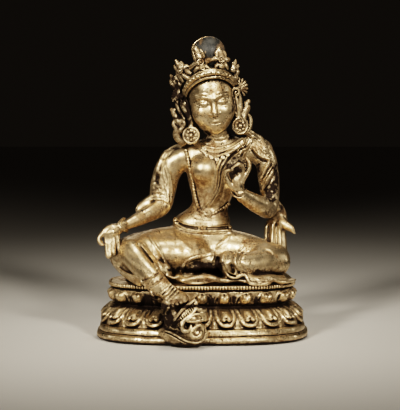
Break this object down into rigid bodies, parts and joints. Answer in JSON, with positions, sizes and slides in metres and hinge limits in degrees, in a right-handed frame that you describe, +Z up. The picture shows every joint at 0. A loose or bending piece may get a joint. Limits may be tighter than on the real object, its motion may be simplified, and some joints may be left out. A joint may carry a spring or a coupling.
{
  "type": "tara figure",
  "caption": "Gilt bronze figure of Tara seated in royal ease, one foot hanging to a small foot lotus, on an oval double lotus plinth.",
  "frame": {"origin": "centre of the plinth's flat underside", "axes": "+Z up, the figure faces -Y, +X is on the viewer's right"},
  "size_m": [0.1154, 0.1003, 0.164],
  "materials": {
    "gilt_bronze": "worn fire gilding over bronze, dark in the recesses",
    "hair_pigment": "worn blue black pigment"
  },
  "bodies": {
    "root": {"tara_figure": "gilt_bronze", "lotus_base": "gilt_bronze"}
  },
  "joints": []
}
